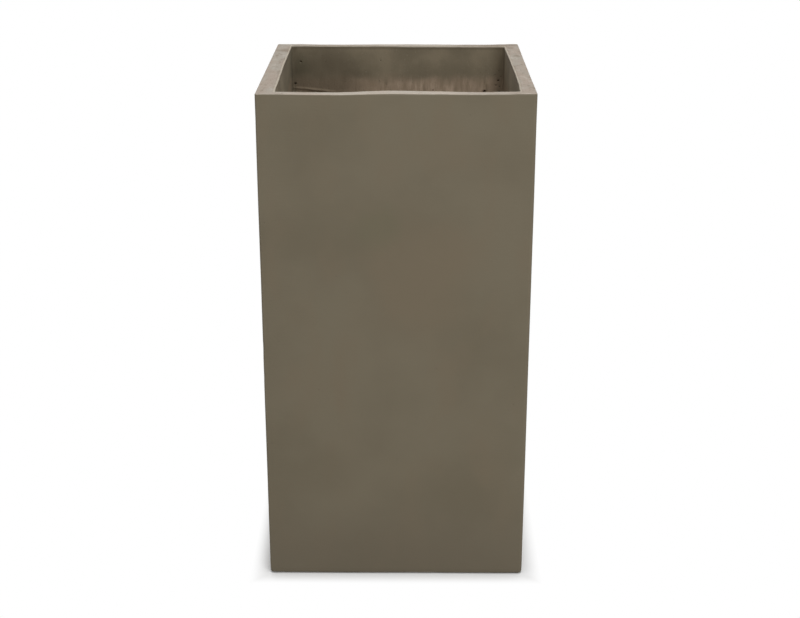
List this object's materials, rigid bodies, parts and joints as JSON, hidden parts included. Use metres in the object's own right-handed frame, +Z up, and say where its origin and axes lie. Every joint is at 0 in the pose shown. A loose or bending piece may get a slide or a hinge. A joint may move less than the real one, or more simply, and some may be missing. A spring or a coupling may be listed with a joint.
{
  "type": "tall square planter",
  "caption": "Tall square concrete floor planter with a hand-finished rim, rubber feet and a pull-out drain plug.",
  "frame": {"origin": "on the ground under the middle of the planter, at the underside of the feet", "axes": "+Z up the planter's long way, +X to the right and -Y out of the front, as seen in the picture"},
  "size_m": [0.36, 0.36, 0.695],
  "materials": {
    "coloured_cement": "smooth, matt, sealed, pigmented olive brown",
    "rim_cement": "trowelled and rubbed down, matt, paler, mottled",
    "raw_fibre_cement": "raw, streaked and pitted from laying up",
    "cove_mortar": "thumbed mortar, matt",
    "glass_mesh": "open glass-fibre weave, bedded in cement",
    "sleeve_plastic": "moulded, satin, dark grey",
    "plug_rubber": "moulded, matt, black",
    "foot_rubber": "moulded, matt, black"
  },
  "bodies": {
    "planter": {"face_coat": "coloured_cement", "rim_skim": "rim_cement", "wall_backing": "raw_fibre_cement", "floor_slab": "raw_fibre_cement", "floor_cove": "cove_mortar", "wall_mesh_front": "glass_mesh", "wall_mesh_right": "glass_mesh", "wall_mesh_back": "glass_mesh", "wall_mesh_left": "glass_mesh", "floor_mesh": "glass_mesh", "corner_strip_front_left": "glass_mesh", "corner_strip_front_right": "glass_mesh", "corner_strip_back_right": "glass_mesh", "corner_strip_back_left": "glass_mesh", "drain_sleeve": "sleeve_plastic", "foot_front_left": "foot_rubber", "foot_front_right": "foot_rubber", "foot_back_right": "foot_rubber", "foot_back_left": "foot_rubber"},
    "plug": {"drain_plug": "plug_rubber"}
  },
  "joints": [
    {"name": "plug_pull", "type": "slide", "parent": "planter", "child": "plug", "axis": [0, 0, 1], "range_m": [0, 0.72]}
  ]
}
